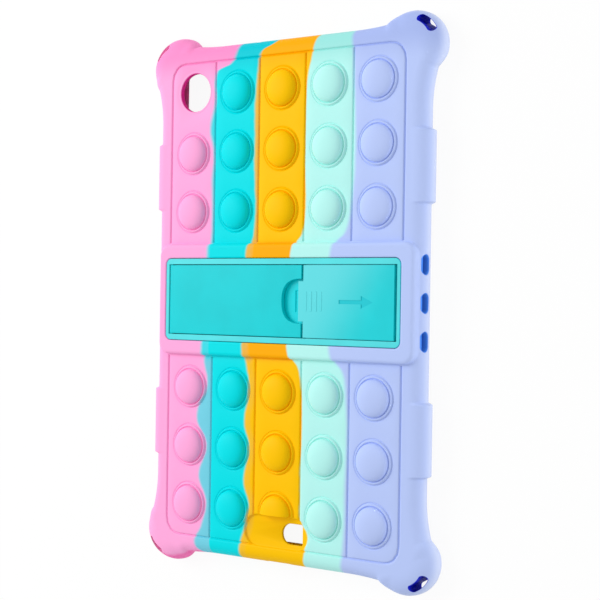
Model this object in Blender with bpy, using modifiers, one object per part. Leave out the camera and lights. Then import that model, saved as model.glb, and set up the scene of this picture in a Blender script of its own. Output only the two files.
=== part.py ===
"""Shockproof silicone case for a 10-inch tablet, with bubbles to press and a folding stand.

The case lies on its front lip, open side down, with its back and the stand facing up.
X runs across the case, towards the side with the three button holes. Y runs up the
case, towards the camera hole. The origin is under the middle of the case, on the surface.
"""

import math

import bmesh
import bpy
from mathutils import Matrix, Vector

MM = 0.001

# Tablet space and shell
CAVITY_WIDTH = 150.6 * MM
CAVITY_LENGTH = 244.0 * MM
CAVITY_DEPTH = 8.5 * MM
CAVITY_CORNER = 9.0 * MM
WALL = 3.7 * MM
BACK = 2.5 * MM
LIP = 2.0 * MM
LIP_REACH = 5.5 * MM
EDGE_ROUNDING = 5.8 * MM

# Corner bumpers
BUMPER_ACROSS = 17.0 * MM
BUMPER_ALONG = 15.8 * MM
BUMPER_PROUD_SIDE = 7.4 * MM
BUMPER_PROUD_END = 6.6 * MM
FLARE_RISE_SIDE = 2.6 * MM
FLARE_RISE_END = 1.0 * MM
FLARE_LENGTH = 18.0 * MM

# Strap slots through the bumpers
SLOT_WEB = 1.7 * MM
SLOT_WIDTH = 3.3 * MM
SLOT_START = math.radians(22)
SLOT_END = math.radians(70)

# Grip pads on the long edges
PAD_PROUD = 2.2 * MM
PAD_TO_FLARE = 8.8 * MM
PAD_TO_BEZEL = 18.5 * MM
PAD_RAMP = 2.0 * MM

# Bubbles and the grooves between their columns
COLUMNS = 5
ROWS_EACH_SIDE = 3
COLUMNS_TO_FIELD_SIDE = 0.75 * MM
ROWS_TO_FIELD_END = 1.6 * MM
ROWS_TO_BEZEL = 1.5 * MM
BUBBLE_RADIUS = 8.85 * MM
BUBBLE_HEIGHT = 4.0 * MM
BUBBLE_SKIN = 1.3 * MM
DIMPLE_DROP = 0.3 * MM
GROOVE_WIDTH = 1.0 * MM
GROOVE_DEPTH = 0.6 * MM
FIELD_MARGIN_SIDE = 9.5 * MM
FIELD_MARGIN_END = 8.1 * MM
FIELD_CORNER = 8.0 * MM

# Holes
CAMERA_DIAMETER = 19.0 * MM
CAMERA_FROM_SIDE = 24.5 * MM
CAMERA_FROM_END = 22.7 * MM
BUTTON_HOLE_LENGTH = 8.8 * MM
BUTTON_HOLE_HEIGHT = 4.6 * MM
BUTTON_HOLE_PITCH = 17.3 * MM
BUTTON_HOLE_LIFT = 1.9 * MM
PORT_WIDTH = 16.5 * MM
PORT_HEIGHT = 6.6 * MM
JACK_DIAMETER = 6.2 * MM
JACK_FROM_CENTRE = 17.5 * MM
SCOOP_LENGTH = 38.0 * MM
SCOOP_WIDTH = 15.0 * MM
SCOOP_DEPTH = 1.2 * MM
SCOOP_FROM_END = 15.2 * MM
SCOOP_HOLE_LENGTH = 12.0 * MM
SCOOP_HOLE_WIDTH = 10.0 * MM
SCOOP_HOLE_END_GAP = 4.0 * MM

# Raised bezel that holds the stand
BEZEL_HEIGHT = 2.8 * MM
BEZEL_WIDTH = 55.0 * MM
BEZEL_INSET = 3.0 * MM
BEZEL_OFFSET = 1.3 * MM
BEZEL_CORNER = 6.0 * MM
BEZEL_ROUNDING = 2.0 * MM
POCKET_DEPTH_IN_BACK = 1.0 * MM
SEAT_GAP = 0.3 * MM

# Stand frame
STAND_LENGTH = 139.7 * MM
STAND_WIDTH = 40.4 * MM
STAND_OFFSET = 0.2 * MM
STAND_CORNER = 3.0 * MM
SIDE_RIM = 2.8 * MM
END_RIM = 1.8 * MM
FRAME_FLOOR = 0.8 * MM
FRAME_BELOW_BEZEL = 0.2 * MM

# Leg, hinged at the -X end of the frame
LEG_LENGTH = 82.8 * MM
PANEL_THICKNESS = 2.2 * MM
PANEL_LIFT = 0.3 * MM
PANEL_SIDE_GAP = 0.4 * MM
HINGE_GAP = 0.3 * MM
TRUNNION_RADIUS = 0.8 * MM
TRUNNION_LENGTH = 1.9 * MM
TRUNNION_GAP = 0.35 * MM
NOTCH_DEPTH = 11.5 * MM
NOTCH_HALF_WIDTH = 10.6 * MM

# Slider that locks the leg
JOINT_GAP = 0.9 * MM
SLIDE_TRAVEL = 1.2 * MM
SLIDE_END_GAP = 0.2 * MM
TONGUE_REACH = 2.9 * MM
TONGUE_DROP = 0.1 * MM
TONGUE_SIDE_GAP = 1.2 * MM
FLANGE_REACH = 1.2 * MM
FLANGE_THICKNESS = 0.8 * MM
FLANGE_GAP = 0.35 * MM
RIB_COUNT = 4
RIB_LENGTH = 9.4 * MM
RIB_WIDTH = 1.1 * MM
RIB_PITCH = 2.9 * MM
RIB_HEIGHT = 0.2 * MM
RIB_FROM_JOINT = 1.6 * MM
ARROW_LENGTH = 18.8 * MM
ARROW_HEAD_LENGTH = 6.5 * MM
ARROW_HEAD_HALF = 2.9 * MM
ARROW_SHAFT = 1.3 * MM
ARROW_DEPTH = 0.4 * MM
ARROW_FROM_JOINT = 20.45 * MM
CATCH_SLOT_LENGTH = 10.0 * MM
CATCH_SLOT_WIDTH = 3.2 * MM
CATCH_SLOT_FROM_TONGUE = 0.2 * MM
CATCH_SLOT_DEPTH = 0.5 * MM

# Facets
OUTLINE_ARC_STEPS = 14
CORNER_STEPS = 5
ROUND_STEPS = 16
EMBED = 1.0 * MM

# Worked out from the sizes above
HALF_WIDTH = CAVITY_WIDTH / 2 + WALL
HALF_LENGTH = CAVITY_LENGTH / 2 + WALL
THICKNESS = LIP + CAVITY_DEPTH + BACK
BACK_TOP = THICKNESS
CAVITY_TOP = LIP + CAVITY_DEPTH
WALL_MIDDLE = LIP + CAVITY_DEPTH / 2
BUMPER_X = HALF_WIDTH + BUMPER_PROUD_SIDE - BUMPER_ACROSS
BUMPER_Y = HALF_LENGTH + BUMPER_PROUD_END - BUMPER_ALONG
FIELD_X = HALF_WIDTH - FIELD_MARGIN_SIDE
FIELD_Y = HALF_LENGTH - FIELD_MARGIN_END
FIRST_ROW_EDGE = BEZEL_WIDTH / 2 + ROWS_TO_BEZEL
COLUMN_PITCH = 2 * (FIELD_X - COLUMNS_TO_FIELD_SIDE) / COLUMNS
ROW_PITCH = (FIELD_Y - ROWS_TO_FIELD_END - FIRST_ROW_EDGE) / ROWS_EACH_SIDE

BEZEL_TOP = BACK_TOP + BEZEL_HEIGHT
FRAME_TOP = BEZEL_TOP - FRAME_BELOW_BEZEL
FRAME_BOTTOM = BACK_TOP - POCKET_DEPTH_IN_BACK + SEAT_GAP
FLOOR_TOP = FRAME_BOTTOM + FRAME_FLOOR
PANEL_BOTTOM = FLOOR_TOP + PANEL_LIFT
PANEL_TOP = PANEL_BOTTOM + PANEL_THICKNESS
OPENING_HALF = STAND_WIDTH / 2 - SIDE_RIM
OPENING_LOW = STAND_OFFSET - STAND_LENGTH / 2 + END_RIM
OPENING_HIGH = STAND_OFFSET + STAND_LENGTH / 2 - END_RIM
PANEL_HALF = OPENING_HALF - PANEL_SIDE_GAP
HINGE_RADIUS = PANEL_THICKNESS / 2
HINGE_X = OPENING_LOW + HINGE_GAP + HINGE_RADIUS
HINGE_Z = PANEL_BOTTOM + HINGE_RADIUS
LEG_END = OPENING_LOW + HINGE_GAP + LEG_LENGTH
SLIDER_START = LEG_END + JOINT_GAP
SLIDER_END = OPENING_HIGH - SLIDE_TRAVEL - SLIDE_END_GAP
TONGUE_HALF = NOTCH_HALF_WIDTH - TONGUE_SIDE_GAP

SILICONE = ("silicone", (0.47, 0.57, 0.92), 0.55, 0.0)
FRAME_PLASTIC = ("frame_plastic", (0.03, 0.62, 0.64), 0.35, 0.0)
LEG_PLASTIC = ("leg_plastic", (0.04, 0.66, 0.66), 0.35, 0.0)
SLIDER_PLASTIC = ("slider_plastic", (0.05, 0.68, 0.68), 0.35, 0.0)


def clear_scene():
    for thing in list(bpy.data.objects):
        bpy.data.objects.remove(thing, do_unlink=True)


def new_collection(name):
    collection = bpy.data.collections.new(name)
    bpy.context.scene.collection.children.link(collection)
    return collection


def give_material(thing, name, colour, roughness, metallic):
    material = bpy.data.materials.new(name)
    material.use_nodes = True
    shader = material.node_tree.nodes["Principled BSDF"]
    shader.inputs["Base Color"].default_value = (*colour, 1.0)
    shader.inputs["Roughness"].default_value = roughness
    shader.inputs["Metallic"].default_value = metallic
    thing.data.materials.append(material)


def arc(centre, radius_x, radius_y, start, end, steps):
    """Points along an elliptical arc, both ends included."""
    points = []
    for step in range(steps + 1):
        angle = start + (end - start) * step / steps
        x = centre[0] + radius_x * math.cos(angle)
        y = centre[1] + radius_y * math.sin(angle)
        points.append((x, y))
    return points


def rounded_rectangle(half_x, half_y, radius, steps=CORNER_STEPS, middle=(0.0, 0.0)):
    points = []
    signs = ((1, 1), (-1, 1), (-1, -1), (1, -1))
    for quarter, (sign_x, sign_y) in enumerate(signs):
        centre_x = middle[0] + sign_x * (half_x - radius)
        centre_y = middle[1] + sign_y * (half_y - radius)
        start = quarter * math.pi / 2
        points += arc((centre_x, centre_y), radius, radius, start, start + math.pi / 2, steps)
    return points


def case_outline():
    """The case seen from its back: straight edges, grip pads, flares and round bumpers."""
    top_lift = HALF_LENGTH + FLARE_RISE_END - BUMPER_Y
    side_lift = HALF_WIDTH + FLARE_RISE_SIDE - BUMPER_X
    first = math.pi - math.asin(top_lift / BUMPER_ALONG)
    last = -math.acos(side_lift / BUMPER_ACROSS)
    bumper = arc((BUMPER_X, BUMPER_Y), BUMPER_ACROSS, BUMPER_ALONG, first, last, OUTLINE_ARC_STEPS)
    top_start = bumper[0][0] - FLARE_LENGTH
    side_start = bumper[-1][1] - FLARE_LENGTH
    pad_high = side_start - PAD_TO_FLARE
    pad_low = BEZEL_WIDTH / 2 + PAD_TO_BEZEL
    quarter = [(top_start, HALF_LENGTH)]
    quarter.append((top_start + FLARE_LENGTH / 2, HALF_LENGTH + FLARE_RISE_END / 4))
    quarter += bumper
    quarter.append((HALF_WIDTH + FLARE_RISE_SIDE / 4, side_start + FLARE_LENGTH / 2))
    quarter.append((HALF_WIDTH, side_start))
    quarter.append((HALF_WIDTH, pad_high + PAD_RAMP))
    quarter.append((HALF_WIDTH + PAD_PROUD, pad_high))
    quarter.append((HALF_WIDTH + PAD_PROUD, pad_low))
    quarter.append((HALF_WIDTH, pad_low - PAD_RAMP))
    right = quarter + [(x, -y) for x, y in reversed(quarter)]
    return right + [(-x, y) for x, y in reversed(right)]


def slab(name, outline, low, high, collection):
    """A flat outline filled and thickened from the height low to the height high."""
    curve = bpy.data.curves.new(name, "CURVE")
    curve.dimensions = "2D"
    curve.fill_mode = "BOTH"
    curve.extrude = (high - low) / 2
    spline = curve.splines.new("POLY")
    spline.points.add(len(outline) - 1)
    for point, (x, y) in zip(spline.points, outline):
        point.co = (x, y, 0.0, 1.0)
    spline.use_cyclic_u = True
    flat = bpy.data.objects.new(name + "_outline", curve)
    collection.objects.link(flat)
    flat.location.z = (low + high) / 2
    bpy.context.view_layer.update()
    evaluated = flat.evaluated_get(bpy.context.evaluated_depsgraph_get())
    mesh = bpy.data.meshes.new_from_object(evaluated)
    mesh.transform(flat.matrix_world)
    bpy.data.objects.remove(flat, do_unlink=True)
    shape = bmesh.new()
    shape.from_mesh(mesh)
    bmesh.ops.remove_doubles(shape, verts=shape.verts, dist=0.00001)
    edges = [edge for edge in shape.edges if edge.calc_face_angle(1.0) < 0.001]
    bmesh.ops.dissolve_edges(shape, edges=edges, use_verts=False)
    bmesh.ops.recalc_face_normals(shape, faces=shape.faces)
    shape.to_mesh(mesh)
    shape.free()
    solid = bpy.data.objects.new(name, mesh)
    collection.objects.link(solid)
    return solid


def object_from(shape, name, collection):
    bmesh.ops.recalc_face_normals(shape, faces=shape.faces)
    mesh = bpy.data.meshes.new(name)
    shape.to_mesh(mesh)
    shape.free()
    solid = bpy.data.objects.new(name, mesh)
    collection.objects.link(solid)
    return solid


def add_box(shape, low, high):
    centre = [(a + b) / 2 for a, b in zip(low, high)]
    size = [b - a for a, b in zip(low, high)]
    placed = Matrix.Translation(centre) @ Matrix.Diagonal((*size, 1.0))
    bmesh.ops.create_cube(shape, size=1.0, matrix=placed)


def add_cylinder(shape, centre, radius, length, axis, steps=ROUND_STEPS):
    """A cylinder of the given length with its middle at centre, along X, Y or Z."""
    turned = Vector((0, 0, 1)).rotation_difference(Vector(axis)).to_matrix().to_4x4()
    placed = Matrix.Translation(centre) @ turned
    bmesh.ops.create_cone(
        shape, cap_ends=True, segments=steps, radius1=radius, radius2=radius,
        depth=length, matrix=placed)


def add_ellipsoid(shape, centre, radius, height, steps, rings):
    placed = Matrix.Translation(centre) @ Matrix.Diagonal((radius, radius, height, 1.0))
    bmesh.ops.create_uvsphere(shape, u_segments=steps, v_segments=rings, radius=1.0, matrix=placed)


def boolean(target, cutter, operation):
    modifier = target.modifiers.new(cutter.name, "BOOLEAN")
    modifier.object = cutter
    modifier.operation = operation
    modifier.solver = "EXACT"
    cutter.hide_render = True
    cutter.display_type = "WIRE"


def bubble_centres():
    """Places of the bubbles, without the one that the camera hole takes."""
    centres = []
    for column in range(COLUMNS):
        for row in range(ROWS_EACH_SIDE):
            for side in (1, -1):
                x = (column - (COLUMNS - 1) / 2) * COLUMN_PITCH
                y = side * (FIRST_ROW_EDGE + (row + 0.5) * ROW_PITCH)
                taken = column == 0 and row == ROWS_EACH_SIDE - 1 and side == 1
                if not taken:
                    centres.append((x, y))
    return centres


def scoop_y():
    return -HALF_LENGTH + SCOOP_FROM_END


def is_over_scoop(x, y):
    return abs(x) < SCOOP_LENGTH / 2 and y - BUBBLE_RADIUS < scoop_y() + SCOOP_WIDTH / 2


def groove_cutters(cutters):
    low = BACK_TOP - GROOVE_DEPTH
    high = BACK_TOP + EMBED
    half = GROOVE_WIDTH / 2
    outer = rounded_rectangle(FIELD_X + half, FIELD_Y + half, FIELD_CORNER + half)
    inner = rounded_rectangle(FIELD_X - half, FIELD_Y - half, FIELD_CORNER - half)
    border = slab("field_border", outer, low, high, cutters)
    island = slab("field_island", inner, low - EMBED, high + EMBED, cutters)
    boolean(border, island, "DIFFERENCE")
    shape = bmesh.new()
    for column in range(COLUMNS - 1):
        x = (column + 1 - COLUMNS / 2) * COLUMN_PITCH
        add_box(shape, (x - half, -FIELD_Y, low), (x + half, FIELD_Y, high))
    strips = object_from(shape, "column_grooves", cutters)
    return border, strips


def strap_slot_outline():
    """A curved slot that follows the bumper's outline, with its web outside it."""
    outer_x = BUMPER_ACROSS - SLOT_WEB
    outer_y = BUMPER_ALONG - SLOT_WEB
    inner_x = outer_x - SLOT_WIDTH
    inner_y = outer_y - SLOT_WIDTH
    centre = (BUMPER_X, BUMPER_Y)
    outer = arc(centre, outer_x, outer_y, SLOT_START, SLOT_END, 8)
    inner = arc(centre, inner_x, inner_y, SLOT_END, SLOT_START, 8)
    return outer + inner


def strap_slots(cutters):
    outline = strap_slot_outline()
    slots = []
    for sign_x in (1, -1):
        for sign_y in (1, -1):
            turned = [(sign_x * x, sign_y * y) for x, y in outline]
            name = f"strap_slot_{len(slots) + 1}"
            slots.append(slab(name, turned, -EMBED, BACK_TOP + EMBED, cutters))
    return slots


def back_hole_cutters(cutters):
    """The camera hole, and the scoop with its hole near the bottom edge."""
    over = BACK_TOP + BUBBLE_HEIGHT + EMBED
    camera_x = -HALF_WIDTH + CAMERA_FROM_SIDE
    camera_y = HALF_LENGTH - CAMERA_FROM_END
    shape = bmesh.new()
    add_cylinder(
        shape, (camera_x, camera_y, CAVITY_TOP + BACK / 2), CAMERA_DIAMETER / 2,
        BACK + 2 * EMBED, (0, 0, 1), 24)
    camera = object_from(shape, "camera_hole", cutters)
    scoop_outline = rounded_rectangle(
        SCOOP_LENGTH / 2, SCOOP_WIDTH / 2, SCOOP_WIDTH / 2, 7, (0.0, scoop_y()))
    scoop = slab("scoop", scoop_outline, BACK_TOP - SCOOP_DEPTH, over, cutters)
    right = SCOOP_LENGTH / 2 - SCOOP_HOLE_END_GAP
    half = SCOOP_HOLE_WIDTH / 2
    bend = (right - SCOOP_HOLE_LENGTH + half, scoop_y())
    hole_outline = arc(bend, half, half, math.pi / 2, 3 * math.pi / 2, 8)
    hole_outline += [(right, scoop_y() - half), (right, scoop_y() + half)]
    hole = slab("scoop_hole", hole_outline, CAVITY_TOP - EMBED, over, cutters)
    return camera, scoop, hole


def wall_hole_cutters(cutters):
    """Button holes on the +X side, the port at the bottom and the jack at the top."""
    depth = WALL + PAD_PROUD + 2 * EMBED
    side_x = CAVITY_WIDTH / 2 + WALL / 2
    straight = BUTTON_HOLE_LENGTH - BUTTON_HOLE_HEIGHT
    holes = []
    for place in (-1, 0, 1):
        outline = rounded_rectangle(
            straight / 2 + BUTTON_HOLE_HEIGHT / 2, BUTTON_HOLE_HEIGHT / 2,
            BUTTON_HOLE_HEIGHT / 2, 4)
        hole = slab(f"button_hole_{place + 2}", outline, -depth / 2, depth / 2, cutters)
        turn = Matrix.Rotation(math.pi / 2, 4, "Z") @ Matrix.Rotation(math.pi / 2, 4, "X")
        hole.data.transform(turn)
        hole.location = (side_x, place * BUTTON_HOLE_PITCH, WALL_MIDDLE + BUTTON_HOLE_LIFT)
        holes.append(hole)
    port_outline = rounded_rectangle(PORT_WIDTH / 2, PORT_HEIGHT / 2, PORT_HEIGHT / 2, 5)
    port = slab("port_hole", port_outline, -depth / 2, depth / 2, cutters)
    port.data.transform(Matrix.Rotation(math.pi / 2, 4, "X"))
    port.location = (0.0, -CAVITY_LENGTH / 2 - WALL / 2, WALL_MIDDLE)
    holes.append(port)
    shape = bmesh.new()
    jack_at = (-JACK_FROM_CENTRE, CAVITY_LENGTH / 2 + WALL / 2, WALL_MIDDLE)
    add_cylinder(shape, jack_at, JACK_DIAMETER / 2, depth, (0, 1, 0), 12)
    holes.append(object_from(shape, "jack_hole", cutters))
    return holes


def build_shell(parts, cutters):
    """The one-piece silicone moulding that wraps the tablet."""
    shell = slab("case_shell", case_outline(), 0.0, THICKNESS, parts)
    rounding = shell.modifiers.new("edge_rounding", "BEVEL")
    rounding.width = EDGE_ROUNDING
    rounding.segments = 3
    rounding.limit_method = "ANGLE"
    rounding.angle_limit = math.radians(80)
    rounding.use_clamp_overlap = False

    border, strips = groove_cutters(cutters)
    boolean(shell, border, "DIFFERENCE")
    boolean(shell, strips, "DIFFERENCE")

    bezel_outline = rounded_rectangle(
        HALF_WIDTH - BEZEL_INSET, BEZEL_WIDTH / 2, BEZEL_CORNER, middle=(BEZEL_OFFSET, 0.0))
    bezel = slab("bezel", bezel_outline, BACK_TOP - BACK * 0.8, BEZEL_TOP, cutters)
    soft = bezel.modifiers.new("bezel_rounding", "BEVEL")
    soft.width = BEZEL_ROUNDING
    soft.segments = 2
    soft.limit_method = "ANGLE"
    soft.angle_limit = math.radians(80)
    boolean(shell, bezel, "UNION")

    domes = bmesh.new()
    dimples = bmesh.new()
    dimple_bottom = CAVITY_TOP - DIMPLE_DROP
    dimple_height = BACK_TOP + BUBBLE_HEIGHT - BUBBLE_SKIN - dimple_bottom
    dimple_radius = BUBBLE_RADIUS - BUBBLE_SKIN
    for x, y in bubble_centres():
        add_ellipsoid(domes, (x, y, BACK_TOP), BUBBLE_RADIUS, BUBBLE_HEIGHT, ROUND_STEPS, 6)
        if not is_over_scoop(x, y):
            add_ellipsoid(dimples, (x, y, dimple_bottom), dimple_radius, dimple_height, 12, 6)
    boolean(shell, object_from(domes, "bubble_domes", cutters), "UNION")

    cavity_outline = rounded_rectangle(CAVITY_WIDTH / 2, CAVITY_LENGTH / 2, CAVITY_CORNER)
    boolean(shell, slab("cavity", cavity_outline, LIP, CAVITY_TOP, cutters), "DIFFERENCE")
    window_corner = CAVITY_CORNER - LIP_REACH / 2
    window_outline = rounded_rectangle(
        CAVITY_WIDTH / 2 - LIP_REACH, CAVITY_LENGTH / 2 - LIP_REACH, window_corner)
    window = slab("front_window", window_outline, -EMBED, LIP + EMBED, cutters)
    boolean(shell, window, "DIFFERENCE")
    boolean(shell, object_from(dimples, "bubble_dimples", cutters), "DIFFERENCE")

    pocket_outline = rounded_rectangle(
        STAND_LENGTH / 2 + SEAT_GAP, STAND_WIDTH / 2 + SEAT_GAP, STAND_CORNER + SEAT_GAP,
        middle=(STAND_OFFSET, 0.0))
    pocket = slab(
        "stand_pocket", pocket_outline, BACK_TOP - POCKET_DEPTH_IN_BACK, BEZEL_TOP + EMBED, cutters)
    boolean(shell, pocket, "DIFFERENCE")

    for cutter in back_hole_cutters(cutters):
        boolean(shell, cutter, "DIFFERENCE")
    for cutter in wall_hole_cutters(cutters):
        boolean(shell, cutter, "DIFFERENCE")
    for cutter in strap_slots(cutters):
        boolean(shell, cutter, "DIFFERENCE")
    give_material(shell, *SILICONE)


def build_frame(parts, cutters):
    """The plastic tray of the stand, with hinge holes and rails for the slider."""
    outline = rounded_rectangle(
        STAND_LENGTH / 2, STAND_WIDTH / 2, STAND_CORNER, middle=(STAND_OFFSET, 0.0))
    frame = slab("stand_frame", outline, FRAME_BOTTOM, FRAME_TOP, parts)

    shape = bmesh.new()
    low = (OPENING_LOW, -OPENING_HALF, FLOOR_TOP)
    add_box(shape, low, (OPENING_HIGH, OPENING_HALF, FRAME_TOP + EMBED))
    boolean(frame, object_from(shape, "tray", cutters), "DIFFERENCE")

    shape = bmesh.new()
    rail_reach = PANEL_HALF + FLANGE_REACH + FLANGE_GAP
    rail_top = PANEL_BOTTOM + FLANGE_THICKNESS + FLANGE_GAP
    rail_low = (SLIDER_START - FLANGE_GAP, -rail_reach, FLOOR_TOP)
    add_box(shape, rail_low, (OPENING_HIGH, rail_reach, rail_top))
    boolean(frame, object_from(shape, "slider_rails", cutters), "DIFFERENCE")

    shape = bmesh.new()
    hole_reach = PANEL_HALF + TRUNNION_LENGTH + TRUNNION_GAP
    add_cylinder(
        shape, (HINGE_X, 0.0, HINGE_Z), TRUNNION_RADIUS + TRUNNION_GAP, 2 * hole_reach, (0, 1, 0))
    boolean(frame, object_from(shape, "hinge_holes", cutters), "DIFFERENCE")

    shape = bmesh.new()
    slot_high = SLIDER_START - TONGUE_REACH - CATCH_SLOT_FROM_TONGUE
    slot_low = slot_high - CATCH_SLOT_WIDTH
    half = CATCH_SLOT_LENGTH / 2
    low = (slot_low, -half, FLOOR_TOP - CATCH_SLOT_DEPTH)
    add_box(shape, low, (slot_high, half, FLOOR_TOP + EMBED))
    boolean(frame, object_from(shape, "catch_slot", cutters), "DIFFERENCE")
    give_material(frame, *FRAME_PLASTIC)


def build_leg(parts, cutters):
    """The leg, a flat panel with a round hinge end, two moulded trunnions and a finger notch."""
    profile = arc((0.0, 0.0), HINGE_RADIUS, HINGE_RADIUS, math.pi / 2, 3 * math.pi / 2, 8)
    reach = LEG_END - HINGE_X
    profile += [(reach, -HINGE_RADIUS), (reach, HINGE_RADIUS)]
    leg = slab("stand_leg", profile, -PANEL_HALF, PANEL_HALF, parts)
    leg.data.transform(Matrix.Rotation(math.pi / 2, 4, "X"))
    leg.location = (HINGE_X, 0.0, HINGE_Z)

    for side in (1, -1):
        shape = bmesh.new()
        middle = side * (PANEL_HALF + (TRUNNION_LENGTH - EMBED) / 2)
        place = (HINGE_X, middle, HINGE_Z)
        add_cylinder(shape, place, TRUNNION_RADIUS, TRUNNION_LENGTH + EMBED, (0, 1, 0), 12)
        name = "trunnion_right" if side > 0 else "trunnion_left"
        boolean(leg, object_from(shape, name, cutters), "UNION")

    shape = bmesh.new()
    add_cylinder(shape, (0.0, 0.0, 0.0), 1.0, PANEL_THICKNESS + 2 * EMBED, (0, 0, 1), 24)
    bmesh.ops.scale(shape, vec=(NOTCH_DEPTH, NOTCH_HALF_WIDTH, 1.0), verts=shape.verts)
    bmesh.ops.translate(shape, vec=(LEG_END, 0.0, HINGE_Z), verts=shape.verts)
    boolean(leg, object_from(shape, "finger_notch", cutters), "DIFFERENCE")
    give_material(leg, *LEG_PLASTIC)


def build_slider(parts, cutters):
    """The locking slider, with its tongue in the finger notch, side flanges, ribs and arrow."""
    shape = bmesh.new()
    low = (SLIDER_START, -PANEL_HALF, PANEL_BOTTOM)
    add_box(shape, low, (SLIDER_END, PANEL_HALF, PANEL_TOP))
    slider = object_from(shape, "latch_slider", parts)

    shape = bmesh.new()
    flange = PANEL_HALF + FLANGE_REACH
    low = (SLIDER_START + JOINT_GAP, -flange, PANEL_BOTTOM)
    high = (SLIDER_END - JOINT_GAP, flange, PANEL_BOTTOM + FLANGE_THICKNESS)
    add_box(shape, low, high)
    boolean(slider, object_from(shape, "flanges", cutters), "UNION")

    shape = bmesh.new()
    low = (SLIDER_START - TONGUE_REACH, -TONGUE_HALF, PANEL_BOTTOM)
    high = (SLIDER_START + EMBED, TONGUE_HALF, PANEL_TOP - TONGUE_DROP)
    add_box(shape, low, high)
    boolean(slider, object_from(shape, "tongue", cutters), "UNION")

    shape = bmesh.new()
    for rib in range(RIB_COUNT):
        x = SLIDER_START + RIB_FROM_JOINT + rib * RIB_PITCH
        low = (x - RIB_WIDTH / 2, -RIB_LENGTH / 2, PANEL_TOP - EMBED)
        add_box(shape, low, (x + RIB_WIDTH / 2, RIB_LENGTH / 2, PANEL_TOP + RIB_HEIGHT))
    boolean(slider, object_from(shape, "grip_ribs", cutters), "UNION")

    tail = SLIDER_START + ARROW_FROM_JOINT
    tip = tail + ARROW_LENGTH
    neck = tip - ARROW_HEAD_LENGTH
    half = ARROW_SHAFT / 2
    upper = [(tail, half), (neck, half), (neck, ARROW_HEAD_HALF)]
    outline = upper + [(tip, 0.0)] + [(x, -y) for x, y in reversed(upper)]
    arrow = slab("arrow", outline, PANEL_TOP - ARROW_DEPTH, PANEL_TOP + EMBED, cutters)
    boolean(slider, arrow, "DIFFERENCE")
    give_material(slider, *SLIDER_PLASTIC)


def main():
    clear_scene()
    parts = new_collection("tablet_case")
    cutters = new_collection("cutters")
    build_shell(parts, cutters)
    build_frame(parts, cutters)
    build_leg(parts, cutters)
    build_slider(parts, cutters)


main()
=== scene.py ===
import math
from math import cos, hypot, pi, radians, sin
from types import SimpleNamespace

import bmesh
import bpy
from mathutils import Matrix, Vector


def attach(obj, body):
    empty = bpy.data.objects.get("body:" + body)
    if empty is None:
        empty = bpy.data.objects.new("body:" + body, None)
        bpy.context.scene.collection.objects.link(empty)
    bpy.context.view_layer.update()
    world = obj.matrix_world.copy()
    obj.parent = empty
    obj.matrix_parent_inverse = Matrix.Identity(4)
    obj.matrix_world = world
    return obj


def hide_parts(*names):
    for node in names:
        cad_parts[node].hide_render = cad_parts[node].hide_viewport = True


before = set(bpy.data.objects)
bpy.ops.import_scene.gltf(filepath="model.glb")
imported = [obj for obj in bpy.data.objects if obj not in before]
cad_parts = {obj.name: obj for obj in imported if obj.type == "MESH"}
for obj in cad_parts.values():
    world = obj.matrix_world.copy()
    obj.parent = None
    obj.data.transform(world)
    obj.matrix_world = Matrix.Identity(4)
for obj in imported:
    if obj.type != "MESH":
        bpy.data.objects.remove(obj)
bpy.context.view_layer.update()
print("frame loaded")

# every size below is in millimetres, with the back plate's plane at backPlane
mm = 0.001
backPlane = 13.0
# places closer than this are one
close = 0.01
# edges sharper than this many degrees stay sharp, on the soft and on the hard pieces
softAngle, hardAngle = 55, 18


# small helpers for numbers, outlines and meshes

def clamp(value, low, high):
    return max(low, min(high, value))


def easeStep(value):
    value = clamp(value, 0.0, 1.0)
    return value * value * (3 - 2 * value)


def signedPower(value, power):
    return math.copysign(abs(value) ** power, value)


def quarterTurn(steps, first=0):
    # the angles of a quarter turn in even steps
    return [step / steps * pi / 2 for step in range(first, steps + 1)]


def arc(x, y, radius, first, last, steps):
    # places along an arc, whose angles are given in half turns
    turns = [pi * (first + (last - first) * step / steps) for step in range(steps + 1)]
    return [(x + radius * cos(turn), y + radius * sin(turn)) for turn in turns]


def heading(first, second):
    # the direction from one place to another, seen from above
    return Vector((second[0] - first[0], second[1] - first[1])).normalized()


def roundedPlace(x, y, halfX, halfY, radius):
    # nearest place on the outline of a rounded rectangle
    signX = 1 if x >= 0 else -1
    signY = 1 if y >= 0 else -1
    overX = abs(x) - (halfX - radius)
    overY = abs(y) - (halfY - radius)
    if overX > 0 and overY > 0:
        reach = radius / hypot(overX, overY)
        return signX * (halfX - radius + overX * reach), signY * (halfY - radius + overY * reach)
    if overX > overY:
        return signX * halfX, y
    return x, signY * halfY


def roundedOutline(halfX, halfY, radius, steps, middle=(0.0, 0.0)):
    places = []
    for quarter, (signX, signY) in enumerate(((1, 1), (-1, 1), (-1, -1), (1, -1))):
        places += arc(middle[0] + signX * (halfX - radius), middle[1] + signY * (halfY - radius),
                      radius, quarter / 2, (quarter + 1) / 2, steps)
    return places


def vertsOf(items):
    return [item for item in items if isinstance(item, bmesh.types.BMVert)]


def closedPairs(loop):
    return list(zip(loop, loop[1:] + loop[:1]))


def growLoop(bm, loop, places, closed=True):
    # extrudes a chain of edges and moves each new vertex to its place
    pairs = closedPairs(loop) if closed else zip(loop, loop[1:])
    edges = [bm.edges.get(pair) for pair in pairs]
    fresh = set(vertsOf(bmesh.ops.extrude_edge_only(bm, edges=edges)["geom"]))
    grown = []
    for vert, place in zip(loop, places):
        new = next(edge.other_vert(vert) for edge in vert.link_edges
                   if edge.other_vert(vert) in fresh)
        new.co = place
        grown.append(new)
    return grown


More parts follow.
